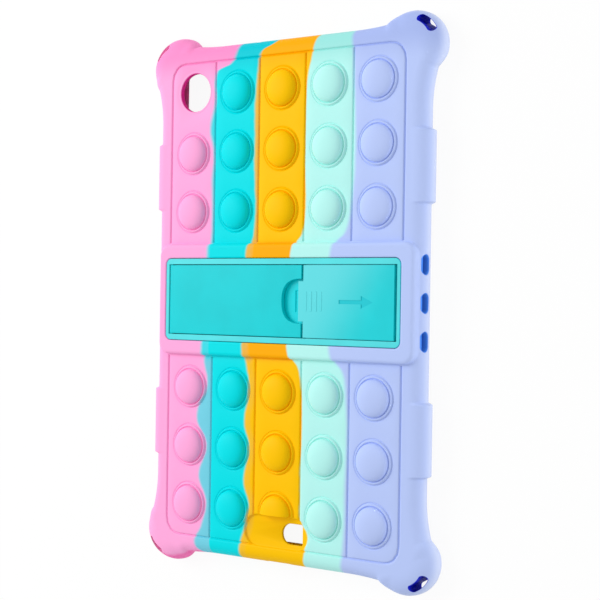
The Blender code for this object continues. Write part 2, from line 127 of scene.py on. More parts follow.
def followLoop(edges):
    # the vertices of one closed chain of edges, in order
    joined = {}
    for edge in edges:
        for vert in edge.verts:
            joined.setdefault(vert, []).append(edge)
    vert = min(joined, key=lambda item: (item.co.x, item.co.y))
    chain = []
    used = set()
    while not chain or vert is not chain[0]:
        chain.append(vert)
        edge = next(edge for edge in joined[vert] if edge not in used)
        used.add(edge)
        vert = edge.other_vert(vert)
    return chain


def extrudeFlat(bm, places, move):
    # a flat outline made a solid
    face = bm.faces.new([bm.verts.new(place) for place in places])
    made = bmesh.ops.extrude_face_region(bm, geom=[face])["geom"]
    bmesh.ops.translate(bm, vec=move, verts=vertsOf(made))


def plate(bm, places, low, high):
    extrudeFlat(bm, [(x, y, low) for x, y in places], (0, 0, high - low))


def stackedSolid(bm, outlines):
    # a closed solid through outlines that follow one another
    loop = [bm.verts.new(place) for place in outlines[0]]
    bm.faces.new(loop)
    for places in outlines[1:]:
        loop = growLoop(bm, loop, places)
    bm.faces.new(loop)


def brick(name, low, high):
    bm = bmesh.new()
    middle = [(a + b) / 2 for a, b in zip(low, high)]
    size = [b - a for a, b in zip(low, high)]
    placed = Matrix.Translation(middle) @ Matrix.Diagonal((*size, 1.0))
    bmesh.ops.create_cube(bm, size=1.0, matrix=placed)
    return finishMesh(name, bm)


def weld(bm, near=close):
    bmesh.ops.remove_doubles(bm, verts=bm.verts, dist=near)


def newObject(name, data):
    made = bpy.data.objects.new(name, data)
    bpy.context.scene.collection.objects.link(made)
    return made


def finishMesh(name, bm, merge=0.002):
    weld(bm, merge)
    bmesh.ops.recalc_face_normals(bm, faces=bm.faces)
    bmesh.ops.scale(bm, vec=(mm, mm, mm), verts=bm.verts)
    mesh = bpy.data.meshes.new(name)
    bm.to_mesh(mesh)
    bm.free()
    return newObject(name, mesh)


def carve(piece, cutter, operation="DIFFERENCE"):
    modifier = piece.modifiers.new("carve", "BOOLEAN")
    modifier.object = cutter
    modifier.operation = operation
    modifier.solver = "EXACT"
    bpy.context.view_layer.update()
    ready = bpy.data.meshes.new_from_object(
        piece.evaluated_get(bpy.context.evaluated_depsgraph_get()))
    piece.modifiers.clear()
    used = (piece.data, cutter.data)
    piece.data = ready
    bpy.data.objects.remove(cutter)
    for mesh in used:
        bpy.data.meshes.remove(mesh)


def smoothShade(piece, degrees):
    piece.data.shade_smooth()
    piece.data.set_sharp_from_angle(angle=radians(degrees))


def softenEdges(piece, width=0.22, segments=2, degrees=30):
    # welds the solid, joins its flat faces and rounds its sharp edges
    bm = bmesh.new()
    bm.from_mesh(piece.data)
    weld(bm, 0.002 * mm)
    bmesh.ops.dissolve_limit(bm, angle_limit=radians(1), verts=bm.verts, edges=bm.edges)
    sharp = [edge for edge in bm.edges
             if edge.is_manifold and edge.calc_face_angle(0) > radians(degrees)]
    bmesh.ops.bevel(bm, geom=sharp, offset=width * mm, offset_type="OFFSET", affect="EDGES",
                    segments=segments, profile=0.5, material=-1, clamp_overlap=True)
    bmesh.ops.triangulate(bm, faces=[face for face in bm.faces if len(face.verts) > 4])
    bm.to_mesh(piece.data)
    bm.free()
    smoothShade(piece, hardAngle)


# the silicone shell

shell = SimpleNamespace(
    halfWidth=79.0, halfLength=125.7,
    # each rounding is its size across and its height
    wallTop=(5.8, 5.8), wallBottom=(6.6, 6.6), roundingSteps=9,
    bumperTop=(9.8, 7.9), bumperBottom=(4.6, 4.4), bumperSteps=44, bumperBlend=7,
    cavity=(75.3, 122.0, 9.0), window=(69.8, 116.5, 6.25), lip=2.0, ceiling=10.5,
    bumperMiddle=(69.4, 116.5), bumperAcross=16.85, bumperAlong=15.65,
    flareSide=2.6, flareEnd=1.0, flareLength=18.0, flareSteps=14, endSteps=11,
    collarSoftness=0.7, collarTurn=0.35, collarSteps=8, joinWidth=0.8,
    padProud=2.2, padLift=0.25, padFrom=45.0, padTo=78.1, padEdge=1.3,
    sideStep=2.6, sideGap=1.0, field=(69.5, 117.6, 8.0), columns=(-55.0, -27.5, 0.0, 27.5, 55.0),
    rows=(43.5, 72.5, 101.5), tileHalf=(12.8, 14.5), fieldFrom=28.0,
    insideHalf=(13.75, 14.5), turnSteps=48,
    bubbleRadius=8.65, bubbleHeight=4.0, bubbleFoot=0.62, bubbleFullness=(2.3, 2.1),
    # the steps of a quarter turn, and how many of them are used before the foot
    bubbleSteps=(12.6, 12),
    # a narrow crease at the bubble's foot, then a raised ring with a groove outside it
    bubbleRing=[(8.66, 0.55), (8.74, 0.2), (8.86, 0.1), (9.0, 0.25), (9.16, 0.5), (9.4, 0.7),
                (9.7, 0.74), (9.96, 0.52), (10.16, 0.12), (10.34, -0.22), (10.53, -0.35),
                (10.73, -0.22), (10.96, -0.03), (11.2, 0.0)],
    dimpleRadius=7.55, dimpleTop=15.7,
    cameraMiddle=(-54.5, 103.0), cameraRadius=9.5, cameraEdge=0.7, cameraReach=11.5,
    pocketMiddle=0.2, pocket=(70.25, 20.6, 3.4), pocketFloor=12.0,
    buttonPlaces=(-17.3, 0.0, 17.3), buttonHole=(4.4, 2.3), buttonHeight=8.15,
    portHole=(8.25, 3.3), jackPlace=-17.5, jackRadius=3.1, portHeight=6.25,
    slotMiddle=(13.65, 12.45), slotHalfWidth=1.65, slotAngles=(22.0, 70.0),
    scoopMiddle=-110.5, scoopHalf=(19.0, 7.5), scoopDepth=1.2,
    scoopHole=(3.0, 15.0, 5.0), scoopHoleCorner=0.8,
)
# the groove from its edge to its middle: how far out, how deep
grooveSteps = ((0.35, -0.08), (0.55, -0.3), (0.65, -0.62), (0.95, -0.8))
grooveHalf, grooveDepth = grooveSteps[-1]


def bubbleProfile():
    radius, height, foot = shell.bubbleRadius, shell.bubbleHeight, shell.bubbleFoot
    power, root = shell.bubbleFullness
    whole, used = shell.bubbleSteps
    steps = []
    for step in range(used + 1):
        reach = sin(step / whole * pi / 2)
        rise = (1 - reach ** power) ** (1 / root)
        steps.append((radius * reach, foot + (height - foot) * rise))
    return [(reach, backPlane + rise) for reach, rise in steps + shell.bubbleRing]


def dimpleProfile():
    ceiling, top, radius = shell.ceiling, shell.dimpleTop, shell.dimpleRadius
    steps = [(radius * sin(angle), ceiling + (top - ceiling) * cos(angle))
             for angle in quarterTurn(9)[:-1]]
    return steps + [(radius + 0.05, ceiling + 0.5), (radius + 0.4, ceiling + 0.05),
                    (radius + 0.9, ceiling)]


def cameraProfile():
    radius, ceiling, edge = shell.cameraRadius, shell.ceiling, shell.cameraEdge
    steps = [(radius + 0.05, ceiling), (radius, ceiling + 0.3), (radius, backPlane - edge)]
    steps += [(radius + edge * (1 - cos(angle)), backPlane - edge + edge * sin(angle))
              for angle in quarterTurn(5, 1)]
    return steps + [(radius + 1.0, backPlane), (radius + 1.25, backPlane - 0.12),
                    (radius + 1.5, backPlane)]


def tile(bm, profile, turnMiddle, middle, reach, corner=None):
    # a radial profile turned about turnMiddle, whose rim then runs out to the tile's rectangle;
    # reach is left, right, down and up from the tile's middle
    turnX, turnY = turnMiddle
    start = [bm.verts.new((turnX + out, turnY, height)) for out, height in profile]
    edges = [bm.edges.new(pair) for pair in zip(start, start[1:])]
    count = shell.turnSteps
    bmesh.ops.spin(bm, geom=start + edges, cent=(turnX, turnY, 0.0), axis=(0, 0, 1),
                   angle=2 * pi, steps=count, use_merge=True)
    rimRadius, rimHeight = profile[-1]
    rim = [vert for vert in bm.verts
           if vert.is_boundary and abs(vert.co.z - rimHeight) < 0.001
           and abs(hypot(vert.co.x - turnX, vert.co.y - turnY) - rimRadius) < close]
    rim.sort(key=lambda vert: math.atan2(vert.co.y - turnY, vert.co.x - turnX)
             % (2 * pi - 1e-4))
    places = []
    for index in range(count):
        angle = index / count * 2 * pi
        across, along = cos(angle), sin(angle)
        far = min(reach[across > 0] / max(abs(across), 1e-9),
                  reach[2 + (along > 0)] / max(abs(along), 1e-9))
        places.append([middle[0] + far * across, middle[1] + far * along])
    for x in (middle[0] - reach[0], middle[0] + reach[1]):
        for y in (middle[1] - reach[2], middle[1] + reach[3]):
            nearest = min(places, key=lambda place: hypot(place[0] - x, place[1] - y))
            nearest[:] = x, y
    if corner:
        halfX, halfY, radius = corner
        for place in places:
            if abs(place[0]) > halfX - radius and abs(place[1]) > halfY - radius:
                place[:] = roundedPlace(*place, halfX, halfY, radius)
    return growLoop(bm, rim, [(x, y, rimHeight) for x, y in places])


def borderEdges(bm, accept):
    # the open edges whose ends both lie where accept says
    return [edge for edge in bm.edges
            if edge.is_boundary and all(accept(vert.co) for vert in edge.verts)]


def fromCamera(co):
    return hypot(co.x - shell.cameraMiddle[0], co.y - shell.cameraMiddle[1])


def outlineQuarter():
    # the shell's outline in one quarter, from the top middle to the right middle, each place
    # with its share of the bumper's rounding
    width, length = shell.halfWidth, shell.halfLength
    middleX, middleY = shell.bumperMiddle
    across, along = shell.bumperAcross, shell.bumperAlong
    rise, riseEnd, run = shell.flareSide, shell.flareEnd, shell.flareLength
    first = pi - math.asin((length + riseEnd - middleY) / along)
    last = -math.acos((width + rise - middleX) / across)
    flatX = middleX + across * cos(first) - run
    endY = middleY + along * sin(last)
    flare = [step / shell.flareSteps for step in range(shell.flareSteps)]
    count = shell.endSteps
    places = [(flatX * step / count, length, 0.0) for step in range(count)]
    places += [(flatX + run * part, length + riseEnd * part * part, 0.0) for part in flare]
    count = shell.bumperSteps
    for step in range(count + 1):
        angle = first + (last - first) * step / count
        places.append((middleX + across * cos(angle), middleY + along * sin(angle),
                       easeStep(min(step, count - step) / shell.bumperBlend)))
    places += [(width + rise * part * part, endY - run * (1 - part), 0.0)
               for part in reversed(flare)]
    # close rows where a pad starts and ends, wider ones between
    sidePlaces = [end + shell.padEdge * part / 2 for end in (shell.padTo, shell.padFrom)
                  for part in (-1.5, -1.0, -0.7, -0.35, 0.0, 0.35, 0.7, 1.0, 1.5)]
    padPlaces = tuple(sidePlaces)
    gap = shell.sideGap
    y = endY - run - 2 * gap
    while y > gap:
        if min(abs(y - place) for place in padPlaces) > gap:
            sidePlaces.append(y)
        y -= shell.sideStep
    places += [(width, y, 0.0) for y in sorted(sidePlaces, reverse=True)]
    return softenKinks(places + [(width, 0.0, 0.0)])


def softenKinks(places):
    # puts a small round in each inward corner, so the inner rings fan out evenly
    softness, count = shell.collarSoftness, shell.collarSteps
    result = [places[0]]
    for before, here, after in zip(places, places[1:], places[2:]):
        toward, away = heading(before, here), heading(here, after)
        turn = toward.x * away.y - toward.y * away.x
        if turn < shell.collarTurn:
            result.append(here)
            continue
        bend = math.asin(min(1.0, turn))
        start = Vector(here[:2]) - toward * softness * math.tan(bend / 2)
        side = Vector((-toward.y, toward.x))
        middle = start + side * softness
        for step in range(count + 1):
            angle = bend * step / count
            place = middle + (toward * sin(angle) - side * cos(angle)) * softness
            result.append((place.x, place.y, here[2]))
    return result + [places[-1]]


def padAmount(y):
    low = shell.padFrom - shell.padEdge / 2
    high = shell.padTo - shell.padEdge / 2
    return (easeStep((abs(y) - low) / shell.padEdge)
            * (1 - easeStep((abs(y) - high) / shell.padEdge)))


def buildRim():
    # one quarter of the wall, rolled over its edges, then mirrored twice
    outline = outlineQuarter()
    normals = []
    for before, here, after in zip(outline[:1] + outline, outline, outline[1:] + outline[-1:]):
        along = (heading(before, here) + heading(here, after)).normalized()
        normals.append(Vector((-along.y, along.x)))
    normals[0] = Vector((0, 1))
    normals[-1] = Vector((1, 0))

    def pinned(places):
        # the ends stay in the planes that the quarter is mirrored by
        places[0] = (0.0, *places[0][1:])
        places[-1] = (places[-1][0], 0.0, places[-1][2])
        return places

    def ring(inset, height, padShare=1.0, padLift=0.0):
        # inset and height are shares of the rounding, measured from the wall and the back
        wallSize, bumperSize = ((shell.wallTop, shell.bumperTop) if height >= 0
                                else (shell.wallBottom, shell.bumperBottom))
        places = []
        for (x, y, fullness), normal in zip(outline, normals):
            across, high = (wall + (bumper - wall) * fullness for wall, bumper in
                            zip(wallSize, bumperSize))
            place = Vector((x, y)) - normal * inset * across
            pad = shell.padProud * padAmount(y)
            level = high * (1 - abs(height)) - pad * padLift
            places.append((place.x + pad * padShare, place.y,
                           backPlane - level if height >= 0 else level))
        return pinned(places)

    def fitted(shape, out, height):
        halfX, halfY, radius = shape
        return pinned([(*roundedPlace(x, y, halfX + out, halfY + out, radius + out), height)
                       for x, y, fullness in outline])

    # a narrow flat ring, which the back plate is joined to
    rings = [ring(1.0, 1.0, 0.0)]
    width = shell.joinWidth
    support = pinned([(x - normal.x * width, y - normal.y * width, z)
                      for (x, y, z), normal in zip(rings[0], normals)])
    bm = bmesh.new()
    loop = [bm.verts.new(place) for place in support]
    for pair in zip(loop, loop[1:]):
        bm.edges.new(pair)
    # the pads rise out of the rounding from its start
    for angle in quarterTurn(shell.roundingSteps, 1):
        rings.append(ring(1 - sin(angle), cos(angle), sin(angle),
                          shell.padLift * sin(2 * angle)))
    for angle in reversed(quarterTurn(shell.roundingSteps)):
        rings.append(ring(1 - sin(angle), -max(cos(angle), 1e-6)))
    lip, ceiling = shell.lip, shell.ceiling
    rings += [fitted(shell.window, out, height) for out, height in (
        (0.9, 0.0), (0.5, 0.0), (0.15, 0.12), (0.0, 0.45), (0.0, lip - 0.4), (0.12, lip - 0.1),
        (0.45, lip))]
    rings += [fitted(shell.cavity, out, height) for out, height in (
        (-0.35, lip), (-0.08, lip + 0.12), (0.0, lip + 0.4), (0.0, ceiling - 0.6),
        (-0.15, ceiling - 0.2), (-0.6, ceiling), (-1.2, ceiling))]
    for places in rings:
        loop = growLoop(bm, loop, places, closed=False)
    for axis in ("X", "Y"):
        bmesh.ops.mirror(bm, geom=list(bm.verts) + list(bm.edges) + list(bm.faces),
                         axis=axis, merge_dist=0.004)
    weld(bm, 0.002)
    return bm


def buildField(bm):
    # the five columns of bubbles on the back, the grooves round them, and the strip between
    half, tall = shell.tileHalf
    fieldX, fieldY, fieldCorner = shell.field
    outX, outY = fieldX - grooveHalf, fieldY - grooveHalf
    corner = (outX, outY, fieldCorner - grooveHalf)
    for sign in (1, -1):
        for index, x in enumerate(shell.columns):
            block = bmesh.new()
            left = x + outX if index == 0 else half
            right = outX - x if index == 4 else half
            for row, y in enumerate(shell.rows):
                inner = y - shell.fieldFrom if row == 0 else tall
                outer = outY - y if row == 2 else tall
                reach = (left, right, inner, outer) if sign > 0 else (left, right, outer, inner)
                isCamera = index == 0 and row == 2 and sign > 0
                middle = shell.cameraMiddle if isCamera else (x, y * sign)
                profile = cameraProfile() if isCamera else bubbleProfile()
                tile(block, profile, middle, (x, y * sign), reach, corner)
            weld(block)
            # the block's outer border, without the camera hole's
            loop = followLoop(borderEdges(block, lambda co: (
                abs(co.z - backPlane) < 0.001 and fromCamera(co) > shell.cameraReach
                and (abs(co.y) < shell.fieldFrom + close
                     or abs(co.x - x) > min(left, right) - close
                     or abs(co.y) > outY - fieldCorner))))
            base = [vert.co.copy() for vert in loop]
            for out, depth in grooveSteps:
                places = [(*pushedOut(co, x, left, right, sign, out, corner), backPlane + depth)
                          for co in base]
                loop = growLoop(block, loop, places)
            carryOver(block, bm)
    weld(bm)


def pushedOut(co, x, left, right, sign, out, corner):
    # a block's border place moved outwards by the groove's step
    halfX, halfY, radius = corner
    if (abs(co.x) > halfX - radius and abs(co.y) > halfY - radius
            and abs(x) >= shell.columns[-1]):
        return roundedPlace(co.x * 1.01, co.y * 1.01, halfX + out, halfY + out, radius + out)
    newX, newY = co.x, co.y
    if abs(co.x - (x - left)) < close:
        newX -= out
    elif abs(co.x - (x + right)) < close:
        newX += out
    if abs(abs(co.y) - shell.fieldFrom) < close:
        newY -= sign * out
    elif abs(abs(co.y) - halfY) < close:
        newY += sign * out
    return newX, newY


def carryOver(source, target):
    # adds one bmesh to another
    mesh = bpy.data.meshes.new("part")
    source.to_mesh(mesh)
    source.free()
    target.from_mesh(mesh)
    bpy.data.meshes.remove(mesh)


def joinBlocks(bm, height, reachY, reachX):
    # closes the strip between the upper and the lower block
    near = 2 * close
    bmesh.ops.bridge_loops(bm, edges=borderEdges(bm, lambda co: (
        abs(abs(co.y) - reachY) < near and abs(co.z - height) < near
        and abs(co.x) < reachX + near)))


def buildInside(bm):
    # the ceiling of the tablet space with a hollow under each bubble
    ceiling, radius = shell.ceiling, shell.cameraRadius
    half, tall = shell.insideHalf
    for sign in (1, -1):
        for index, x in enumerate(shell.columns):
            for row, y in enumerate(shell.rows):
                turnMiddle, profile = (x, y * sign), dimpleProfile()
                if index == 0 and row == 2 and sign > 0:
                    turnMiddle = shell.cameraMiddle
                    profile = [(radius + 0.05, ceiling), (radius + 0.6, ceiling)]
                elif index == 2 and row == 2 and sign < 0:
                    # flat under the finger scoop
                    profile = [(0.0, ceiling), (4.0, ceiling), (8.0, ceiling)]
                tile(bm, profile, turnMiddle, (x, y * sign), (half, half, tall, tall))
    weld(bm)


def fillPlate(bm, height):
    # fills the plane at this height, but not the camera hole
    edges = borderEdges(bm, lambda co: (
        abs(co.z - height) < 0.002 and fromCamera(co) > shell.cameraReach))
    bmesh.ops.triangle_fill(bm, use_beauty=True, use_dissolve=False, edges=edges)


def buildShell():
    top = bmesh.new()
    buildField(top)
    joinBlocks(top, backPlane + grooveDepth, shell.fieldFrom - grooveHalf, shell.field[0])
    halfX, halfY, radius = shell.field
    loop = followLoop(borderEdges(
        top, lambda co: abs(co.z - backPlane - grooveDepth) < close))
    base = [vert.co.copy() for vert in loop]
    rises = [(grooveHalf - out, depth) for out, depth in reversed(grooveSteps[:-1])]
    for out, depth in rises + [(grooveHalf, 0.0), (grooveHalf + 0.5, 0.0)]:
        loop = growLoop(top, loop, [
            (*roundedPlace(co.x, co.y, halfX + out, halfY + out, radius + out),
             backPlane + depth) for co in base])
    inside = bmesh.new()
    buildInside(inside)
    # between the two middle rows of hollows, over the inside's whole width
    rowGap = shell.rows[0] - shell.insideHalf[1]
    joinBlocks(inside, shell.ceiling, rowGap, shell.columns[-1] + shell.insideHalf[0])
    bm = buildRim()
    carryOver(top, bm)
    carryOver(inside, bm)
    fillPlate(bm, backPlane)
    fillPlate(bm, shell.ceiling)
    weld(bm)
    print("shell before holes: open edges", sum(not edge.is_manifold for edge in bm.edges))
    return finishMesh("siliconeShell", bm)


def holeCutters():
    bm = bmesh.new()
    # how far a hole's mouth flares, before and beyond its wall
    mouth = ((-1.1, 0.0), (-0.55, 0.12), (-0.2, 0.4), (0.0, 0.75))
    # buttons in the +X wall
    wall = shell.halfWidth
    steps = [(wall - 5.3, 0.0)] + [(wall + out, wider) for out, wider in mouth]
    for y in shell.buttonPlaces:
        sleeve(bm, steps + [(wall + 4.2, 1.0)], *shell.buttonHole,
               lambda u, v, out: (out, y + u, shell.buttonHeight + v))
    # charging port in the -Y wall, jack in the +Y wall
    wall = shell.halfLength
    steps = [(wall - 5.2, 0.0)] + [(wall + out, wider) for out, wider in mouth]
    steps.append((wall + 3.3, 1.0))
    sleeve(bm, steps, *shell.portHole, lambda u, v, out: (u, -out, shell.portHeight + v))
    radius = shell.jackRadius
    sleeve(bm, steps, radius, radius, lambda u, v, out: (
        shell.jackPlace + u, out, shell.portHeight + v))
    # strap slots through the bumpers
    for signX in (1, -1):
        for signY in (1, -1):
            places = strapSlot()
            if signX * signY < 0:
                places.reverse()
            plate(bm, [(signX * x, signY * y) for x, y in places], -1.0, 14.0)
    # the stand's pocket
    places = roundedOutline(*shell.pocket, 6, (shell.pocketMiddle, 0.0))
    plate(bm, places, shell.pocketFloor, 20.0)
    bmesh.ops.recalc_face_normals(bm, faces=bm.faces)
    return finishMesh("holeCutters", bm, 0.0001)


def strapSlot():
    # a curved slot with round ends that follows the bumper's outline
    middleX, middleY = shell.bumperMiddle
    across, along = shell.slotMiddle
    half = shell.slotHalfWidth
    inset = half / (across + along) * 2
    first, last = (radians(angle) for angle in shell.slotAngles)
    first, last = first + inset, last - inset

    def place(angle, turn):
        here = Vector((middleX + across * cos(angle), middleY + along * sin(angle)))
        outward = Vector((cos(angle) / across, sin(angle) / along)).normalized()
        forward = Vector((-outward.y, outward.x))
        return tuple(here + (outward * cos(turn) + forward * sin(turn)) * half)

    places = []
    for start, end, turn in ((first, last, 0.0), (last, first, pi)):
        places += [place(start + (end - start) * step / 16, turn) for step in range(16)]
        places += [place(end, turn + step / 8 * pi) for step in range(8)]
    return places


def sleeve(bm, steps, halfLong, halfTall, place, corner=7):
    # a closed plug with round ends, wider where steps say so
    stackedSolid(bm, [[place(u, v, out) for u, v in roundedOutline(
        halfLong + wider, halfTall + wider, halfTall + wider - 0.001, corner)]
        for out, wider in steps])


def scoopCutter():
    bm = bmesh.new()
    depth = shell.scoopDepth
    # from the floor up and out: how high over the back, how much wider
    steps = ((-depth, -0.9), (-depth + 0.1, -0.35), (-depth + 0.35, -0.05), (-depth + 0.6, 0.0),
             (-0.45, 0.05), (-0.15, 0.25), (0.0, 0.6), (0.05, 0.9), (5.5, 0.9))
    sleeve(bm, steps, *shell.scoopHalf,
           lambda u, v, out: (u, shell.scoopMiddle + v, backPlane + out), 12)
    return finishMesh("scoopCutter", bm, 0.0001)


def scoopHoleCutter():
    # flat at its high end, round at its low end
    bm = bmesh.new()
    low, high, half = shell.scoopHole
    middle, corner = shell.scoopMiddle, shell.scoopHoleCorner
    floor = backPlane - shell.scoopDepth
    outlines = []
    for wider, height in ((0.0, shell.ceiling - 1.0), (0.0, floor - 0.5), (0.12, floor - 0.2),
                          (0.4, floor), (0.7, floor + 0.05), (0.7, backPlane + 5.5)):
        places = arc(low + half, middle, half + wider, 0.5, 1.5, 12)
        for side, first, last in ((-1, -0.5, 0.0), (1, 0.0, 0.5)):
            places += arc(high - corner, middle + side * (half - corner), corner + wider,
                          first, last, 3)
        outlines.append([(x, y, height) for x, y in places])
    stackedSolid(bm, outlines)
    return finishMesh("scoopHoleCutter", bm, 0.0001)


siliconeShell = buildShell()
print("shell body made")
for cutter in (holeCutters(), scoopCutter(), scoopHoleCutter()):
    carve(siliconeShell, cutter)
smoothShade(siliconeShell, softAngle)
print("shell holes made, triangles", sum(len(face.vertices) - 2
                                         for face in siliconeShell.data.polygons))


# the raised bezel round the stand

bezel = SimpleNamespace(
    half=(76.0, 27.5, 6.0), middle=1.3, height=2.8, topRounding=1.9,
    pocketMiddle=0.2, pocket=(70.15, 20.5, 3.3), lowest=-0.5,
    # out from the outline and over the back plane, and out from the pocket and over the top
    foot=((0.7, -0.4), (0.5, -0.1), (0.32, -0.02), (0.16, 0.06), (0.06, 0.2), (0.01, 0.42)),
    pocketEdge=((1.1, 0.0), (0.6, 0.0), (0.2, -0.12), (0.0, -0.45)),
    corner=10, sideSteps=(24, 8),
)


def surfaceDrop(x):
    # how far the shell's rounded edge lies under its back plane
    inset = shell.halfWidth - abs(x)
    rounding = shell.wallTop[0]
    share = clamp(1 - inset / rounding, 0.0, 1.0)
    return rounding * (1 - math.sqrt(1 - share * share))


def bezelLoop(shape, out, middle):
    # a rounded outline whose straight sides are divided too
    halfX, halfY, radius = shape
    corner = bezel.corner
    outline = roundedOutline(halfX + out, halfY + out, radius + out, corner, (middle, 0.0))
    places = []
    for start in range(0, len(outline), corner + 1):
        places += outline[start:start + corner + 1]
        (x, y), (endX, endY) = places[-1], outline[(start + corner + 1) % len(outline)]
        count = bezel.sideSteps[abs(endY - y) > abs(endX - x)]
        places += [(x + (endX - x) * step / count, y + (endY - y) * step / count)
                   for step in range(1, count)]
    return places


def buildBezel():
    bm = bmesh.new()
    height, rounding, lowest = bezel.height, bezel.topRounding, bezel.lowest
    outer = (bezel.half, bezel.middle)
    inner = (bezel.pocket, bezel.pocketMiddle)
    rings = [(*outer, out, level) for out, level in bezel.foot]
    rings += [(*outer, -rounding * (1 - cos(angle)),
               height - rounding + rounding * sin(angle)) for angle in quarterTurn(7)]
    rings.append((*outer, -rounding - 0.5, height))
    rings += [(*inner, out, height + level) for out, level in bezel.pocketEdge]
    rings.append((*inner, 0.0, lowest))
    loops = []
    for shape, shift, out, level in rings:
        share = clamp(1 - level / height, 0.0, 1.4)
        loops.append([(x, y, backPlane + level - surfaceDrop(x) * share)
                      for x, y in bezelLoop(shape, out, shift)])
    loops.append([(x, y, backPlane + lowest - surfaceDrop(x))
                  for x, y in bezelLoop(bezel.half, 0.8, bezel.middle)])
    first = loop = [bm.verts.new(place) for place in loops[0]]
    for pair in closedPairs(loop):
        bm.edges.new(pair)
    for places in loops[1:]:
        loop = growLoop(bm, loop, places)
    bmesh.ops.bridge_loops(bm, edges=[
        bm.edges.get(pair) for pair in closedPairs(first) + closedPairs(loop)])
    return finishMesh("siliconeBezel", bm)


siliconeBezel = buildBezel()
smoothShade(siliconeBezel, softAngle)
print("bezel made")


# the folding stand

stand = SimpleNamespace(
    frameHalf=(69.85, 20.2, 3.0), middle=0.2, bottom=12.3, top=15.6, floor=13.1,
    opening=(-67.85, 68.25, 17.4), railReach=18.55, railTop=14.55, railFrom=15.8,
    hinge=(-66.45, 14.5), hingeHole=(0.95, 19.25), trunnion=(0.8, 18.9),
    catchSlot=(9.85, 13.05, 5.0, 12.6),
    panelHalf=17.0, panelLow=13.4, panelHigh=15.6, legEnd=14.95,
    notch=(11.5, 10.6, 0.78),
    slider=(16.15, 66.85), flange=(17.05, 65.95, 18.2, 14.2), tongue=(13.25, 9.4, 15.5),
    ribs=(17.75, 20.65, 23.55, 26.45), ribSize=(0.55, 4.7, 15.72),
    arrow=(36.6, 48.9, 55.4, 0.9, 2.9, 15.35),
)


def hingePin(radius, reach):
    # a round bar along the hinge's line, for its bore and its trunnions
    hingeX, hingeZ = stand.hinge
    bm = bmesh.new()
    turned = Matrix.Translation((hingeX, 0, hingeZ)) @ Matrix.Rotation(pi / 2, 4, "X")
    bmesh.ops.create_cone(bm, cap_ends=True, segments=24, radius1=radius, radius2=radius,
                          depth=2 * reach, matrix=turned)
    return finishMesh("hingePin", bm)


def buildFrame():
    bm = bmesh.new()
    plate(bm, roundedOutline(*stand.frameHalf, 10, (stand.middle, 0.0)), stand.bottom, stand.top)
    piece = finishMesh("standTray", bm)
    floor, rail = stand.floor, stand.railReach
    low, high, half = stand.opening
    carve(piece, brick("cut", (low, -half, floor), (high, half, stand.top + 1)))
    carve(piece, brick("cut", (stand.railFrom, -rail, floor), (high, rail, stand.railTop)))
    carve(piece, hingePin(*stand.hingeHole))
    low, high, half, bottom = stand.catchSlot
    carve(piece, brick("cut", (low, -half, bottom), (high, half, floor + 0.5)))
    softenEdges(piece)
    return piece


def buildLeg():
    hingeX, hingeZ = stand.hinge
    low, high, half, end = stand.panelLow, stand.panelHigh, stand.panelHalf, stand.legEnd
    profile = arc(hingeX, hingeZ, (high - low) / 2, 0.5, 1.5, 12) + [(end, low), (end, high)]
    bm = bmesh.new()
    extrudeFlat(bm, [(x, -half, z) for x, z in profile], (0, 2 * half, 0))
    piece = finishMesh("standLeg", bm)
    carve(piece, hingePin(*stand.trunnion), "UNION")
    deep, wide, full = stand.notch
    turns = [(step + 0.5) / 64 * 2 * pi for step in range(64)]
    bm = bmesh.new()
    plate(bm, [(end + deep * signedPower(cos(turn), full),
                wide * signedPower(sin(turn), full)) for turn in turns], low - 1, high + 1)
    carve(piece, finishMesh("cut", bm))
    softenEdges(piece)
    return piece


def buildSlider():
    start, end = stand.slider
    half, bottom, panelTop = stand.panelHalf, stand.panelLow, stand.panelHigh
    piece = brick("latchSlider", (start, -half, bottom), (end, half, panelTop))
    low, high, reach, top = stand.flange
    carve(piece, brick("add", (low, -reach, bottom), (high, reach, top)), "UNION")
    low, reach, top = stand.tongue
    carve(piece, brick("add", (low, -reach, bottom), (start + 1, reach, top)), "UNION")
    softenEdges(piece)
    thick, reach, top = stand.ribSize
    bm = bmesh.new()
    for x in stand.ribs:
        stackedSolid(bm, [[(px, py, height) for px, py in roundedOutline(
            thick + wider, reach + wider, thick + wider - 0.01, 6, (x, 0.0))]
            for wider, height in ((0.12, panelTop - 0.3), (0.12, panelTop + 0.02),
                                  (0.0, top - 0.12), (-0.15, top))])
    carve(piece, finishMesh("add", bm, 0.0001), "UNION")
    tail, neck, tip, shaft, head, floor = stand.arrow
    bm = bmesh.new()
    plate(bm, [(tail, -shaft), (neck, -shaft), (neck, -head), (tip, 0.0), (neck, head),
               (neck, shaft), (tail, shaft)], floor, panelTop + 1)
    carve(piece, finishMesh("cut", bm))
    smoothShade(piece, hardAngle)
    return piece


standTray = buildFrame()
standLeg = buildLeg()
latchSlider = buildSlider()
print("stand made")


# materials

